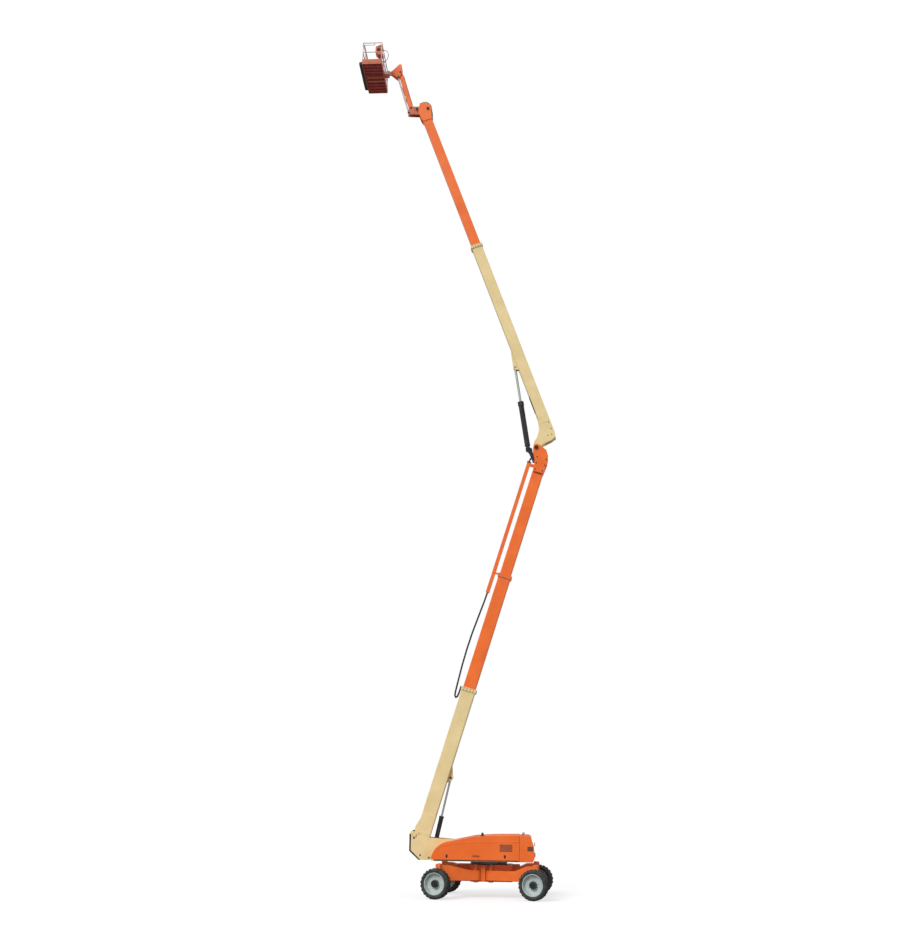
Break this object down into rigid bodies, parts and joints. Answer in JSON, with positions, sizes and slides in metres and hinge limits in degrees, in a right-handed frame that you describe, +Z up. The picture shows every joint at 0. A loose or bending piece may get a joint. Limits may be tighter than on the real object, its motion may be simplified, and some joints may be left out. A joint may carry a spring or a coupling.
{
  "type": "articulating boom lift",
  "caption": "Self-propelled lift with a telescoping tower boom, a telescoping main boom, a jib and a railed work platform, on swing-out axle arms.",
  "frame": {"origin": "on the ground under the middle of the machine's length and width as stored, with the booms raised", "axes": "+X towards the counterweight end, +Y towards the far side, +Z up"},
  "size_m": [9.3215, 4.0678, 39.201],
  "materials": {
    "orange_paint": "satin orange paint",
    "cream_paint": "satin cream paint",
    "black_paint": "satin black paint",
    "rim_paint": "satin light grey paint",
    "rail_paint": "satin grey paint",
    "tyre_rubber": "matt dark rubber",
    "hood_shell": "orange moulded cover",
    "engine_metal": "dark cast metal",
    "rod_chrome": "polished rod",
    "black_plastic": "matt black plastic",
    "floor_metal": "painted ribbed floor",
    "hose_rubber": "matt hose"
  },
  "bodies": {
    "chassis": {"chassis_frame": "orange_paint", "swing_bearing": "black_paint"},
    "arm_front_near": {"axle_arm_front_near": "orange_paint"},
    "knuckle_front_near": {"steering_knuckle_front_near": "orange_paint"},
    "wheel_front_near": {"tyre_front_near": "tyre_rubber", "wheel_rim_front_near": "rim_paint", "drive_hub_front_near": "black_paint"},
    "arm_front_far": {"axle_arm_front_far": "orange_paint"},
    "knuckle_front_far": {"steering_knuckle_front_far": "orange_paint"},
    "wheel_front_far": {"tyre_front_far": "tyre_rubber", "wheel_rim_front_far": "rim_paint", "drive_hub_front_far": "black_paint"},
    "arm_rear_near": {"axle_arm_rear_near": "orange_paint"},
    "knuckle_rear_near": {"steering_knuckle_rear_near": "orange_paint"},
    "wheel_rear_near": {"tyre_rear_near": "tyre_rubber", "wheel_rim_rear_near": "rim_paint", "drive_hub_rear_near": "black_paint"},
    "arm_rear_far": {"axle_arm_rear_far": "orange_paint"},
    "knuckle_rear_far": {"steering_knuckle_rear_far": "orange_paint"},
    "wheel_rear_far": {"tyre_rear_far": "tyre_rubber", "wheel_rim_rear_far": "rim_paint", "drive_hub_rear_far": "black_paint"},
    "turntable": {"turntable_frame": "cream_paint", "front_guard": "black_paint", "counterweight": "orange_paint", "engine_block": "engine_metal", "fuel_tank": "black_paint"},
    "near_hood": {"hood_near": "hood_shell"},
    "far_hood": {"hood_far": "hood_shell"},
    "tower_base_section": {"tower_base": "cream_paint"},
    "tower_mid_section": {"tower_mid": "orange_paint", "hose_carrier": "black_plastic"},
    "tower_fly_section": {"tower_fly": "orange_paint", "knuckle": "orange_paint", "cylinder_bracket": "black_paint", "hose_conduit": "orange_paint"},
    "tower_barrel": {"tower_cylinder_barrel": "black_paint"},
    "tower_rod": {"tower_cylinder_rod": "rod_chrome"},
    "main_base_section": {"main_base": "cream_paint"},
    "main_fly_section": {"main_fly": "orange_paint"},
    "main_barrel": {"main_cylinder_barrel": "black_paint"},
    "main_rod": {"main_cylinder_rod": "rod_chrome"},
    "bracket": {"jib_bracket": "orange_paint"},
    "jib": {"jib_arm": "orange_paint"},
    "link": {"jib_link": "rail_paint"},
    "jib_barrel": {"jib_cylinder_barrel": "black_paint"},
    "jib_rod": {"jib_cylinder_rod": "rod_chrome"},
    "head": {"platform_head": "orange_paint", "rotator": "rail_paint"},
    "platform": {"platform_frame": "rail_paint", "platform_floor": "floor_metal", "control_console": "orange_paint", "front_panel": "black_plastic", "platform_hose": "hose_rubber"},
    "gate": {"platform_gate": "rail_paint"}
  },
  "joints": [
    {"name": "swing_arm_front_near", "type": "hinge", "parent": "chassis", "child": "arm_front_near", "pos_m": [1.183, -0.62, 0.668], "axis": [0, 0, 1], "range_deg": [-25.73, 0]},
    {"name": "steer_front_near", "type": "hinge", "parent": "arm_front_near", "child": "knuckle_front_near", "pos_m": [-0.222, -1.27758, 0.668], "axis": [0, 0, -1], "range_deg": [-41.13, 19.6]},
    {"name": "spin_front_near", "type": "hinge", "parent": "knuckle_front_near", "child": "wheel_front_near", "pos_m": [-0.33353, -1.6825, 0.5775], "axis": [-0.2656, -0.9641, 0], "continuous": true},
    {"name": "swing_arm_front_far", "type": "hinge", "parent": "chassis", "child": "arm_front_far", "pos_m": [1.183, 0.62, 0.668], "axis": [0, 0, -1], "range_deg": [-25.73, 0]},
    {"name": "steer_front_far", "type": "hinge", "parent": "arm_front_far", "child": "knuckle_front_far", "pos_m": [-0.222, 1.27758, 0.668], "axis": [0, 0, 1], "range_deg": [-10.33, 50.4]},
    {"name": "spin_front_far", "type": "hinge", "parent": "knuckle_front_far", "child": "wheel_front_far", "pos_m": [-0.11047, 1.6825, 0.5775], "axis": [0.2656, 0.9641, 0], "continuous": true},
    {"name": "swing_arm_rear_near", "type": "hinge", "parent": "chassis", "child": "arm_rear_near", "pos_m": [1.783, -0.62, 0.668], "axis": [0, 0, -1], "range_deg": [-20.54, 0]},
    {"name": "steer_rear_near", "type": "hinge", "parent": "arm_rear_near", "child": "knuckle_rear_near", "pos_m": [3.588, -1.27758, 0.668], "axis": [0, 0, 1], "range_deg": [-5.14, 50.4]},
    {"name": "spin_rear_near", "type": "hinge", "parent": "knuckle_rear_near", "child": "wheel_rear_near", "pos_m": [3.47647, -1.6825, 0.5775], "axis": [-0.2656, -0.9641, 0], "continuous": true},
    {"name": "swing_arm_rear_far", "type": "hinge", "parent": "chassis", "child": "arm_rear_far", "pos_m": [1.783, 0.62, 0.668], "axis": [0, 0, 1], "range_deg": [-20.54, 0]},
    {"name": "steer_rear_far", "type": "hinge", "parent": "arm_rear_far", "child": "knuckle_rear_far", "pos_m": [3.588, 1.27758, 0.668], "axis": [0, 0, -1], "range_deg": [-35.94, 19.6]},
    {"name": "spin_rear_far", "type": "hinge", "parent": "knuckle_rear_far", "child": "wheel_rear_far", "pos_m": [3.69953, 1.6825, 0.5775], "axis": [0.2656, 0.9641, 0], "continuous": true},
    {"name": "swing", "type": "hinge", "parent": "chassis", "child": "turntable", "pos_m": [1.683, 0, 1.38], "axis": [0, 0, 1], "continuous": true},
    {"name": "near_hood_hinge", "type": "hinge", "parent": "turntable", "child": "near_hood", "pos_m": [1.683, -0.42, 2.38], "axis": [-1, 0, 0], "range_deg": [0, 60]},
    {"name": "far_hood_hinge", "type": "hinge", "parent": "turntable", "child": "far_hood", "pos_m": [1.683, 0.42, 2.38], "axis": [1, 0, 0], "range_deg": [0, 60]},
    {"name": "tower_lift", "type": "hinge", "parent": "turntable", "child": "tower_base_section", "pos_m": [-1.332, 0, 2.36], "axis": [0, -1, 0], "range_deg": [-72.6, 0.4]},
    {"name": "tower_mid_slide", "type": "slide", "parent": "tower_base_section", "child": "tower_mid_section", "axis": [0.299, 0, 0.9542], "range_m": [-4.9, 0]},
    {"name": "tower_fly_slide", "type": "slide", "parent": "tower_mid_section", "child": "tower_fly_section", "axis": [0.299, 0, 0.9542], "range_m": [-4.9, 0]},
    {"name": "tower_barrel_pivot", "type": "hinge", "parent": "turntable", "child": "tower_barrel", "pos_m": [-0.607, 0, 1.55], "axis": [0, -1, 0], "range_deg": [-73.47, 0.41]},
    {"name": "tower_rod_slide", "type": "slide", "parent": "tower_barrel", "child": "tower_rod", "axis": [0.2265, 0, 0.974], "range_m": [-1.28712, 0.00759]},
    {"name": "main_lift", "type": "hinge", "parent": "tower_fly_section", "child": "main_base_section", "pos_m": [3.73631, 0, 18.73362], "axis": [0, 1, 0], "range_deg": [-143, 4.5]},
    {"name": "main_fly_slide", "type": "slide", "parent": "main_base_section", "child": "main_fly_section", "axis": [-0.3355, 0, 0.9421], "range_m": [-7.15, 0]},
    {"name": "main_barrel_pivot", "type": "hinge", "parent": "tower_fly_section", "child": "main_barrel", "pos_m": [3.37145, 0, 18.7264], "axis": [0, 1, 0], "range_deg": [-153.15, 4.83]},
    {"name": "main_rod_slide", "type": "slide", "parent": "main_barrel", "child": "main_rod", "axis": [-0.1441, 0, 0.9896], "range_m": [-0.07649, 0.00289]},
    {"name": "bracket_level", "type": "hinge", "parent": "main_fly_section", "child": "bracket", "pos_m": [-1.40544, 0, 36.09476], "axis": [0, -1, 0], "range_deg": [-71, 5]},
    {"name": "jib_lift", "type": "hinge", "parent": "bracket", "child": "jib", "pos_m": [-2.23544, 0, 36.20476], "axis": [0, 1, 0], "range_deg": [-129.2, 0.8]},
    {"name": "jib_link_pivot", "type": "hinge", "parent": "bracket", "child": "link", "pos_m": [-2.33544, 0, 35.93976], "axis": [0, 1, 0], "range_deg": [-129.2, 0.8]},
    {"name": "jib_barrel_pivot", "type": "hinge", "parent": "bracket", "child": "jib_barrel", "pos_m": [-2.14544, 0, 35.93476], "axis": [0, 1, 0], "range_deg": [-118.41, 0.74]},
    {"name": "jib_rod_slide", "type": "slide", "parent": "jib_barrel", "child": "jib_rod", "axis": [-0.3696, 0, 0.9292], "range_m": [-0.45843, 0.00333]},
    {"name": "head_level", "type": "hinge", "parent": "jib", "child": "head", "pos_m": [-2.8154, 0, 38.25429], "axis": [0, -1, 0], "range_deg": [-129.2, 0.8]},
    {"name": "platform_rotate", "type": "hinge", "parent": "head", "child": "platform", "pos_m": [-3.4354, 0, 38.25429], "axis": [0, 0, 1], "range_deg": [-90, 90]},
    {"name": "gate_hinge", "type": "hinge", "parent": "platform", "child": "gate", "pos_m": [-3.6884, 1.199, 38.39999], "axis": [0, 0, 1], "range_deg": [0, 88]}
  ],
  "couplings": [
    {"joint": "tower_fly_slide", "follows": "tower_mid_slide", "ratio": 1},
    {"joint": "tower_barrel_pivot", "follows": "tower_lift", "ratio": 1.0118},
    {"joint": "tower_rod_slide", "follows": "tower_lift", "m_per_rad": 1.0154},
    {"joint": "main_barrel_pivot", "follows": "main_lift", "ratio": 1.0709},
    {"joint": "main_rod_slide", "follows": "main_lift", "m_per_rad": 0.030446},
    {"joint": "jib_link_pivot", "follows": "jib_lift", "ratio": 1},
    {"joint": "jib_barrel_pivot", "follows": "jib_lift", "ratio": 0.91639},
    {"joint": "jib_rod_slide", "follows": "jib_lift", "m_per_rad": 0.20307},
    {"joint": "head_level", "follows": "jib_lift", "ratio": 1}
  ]
}
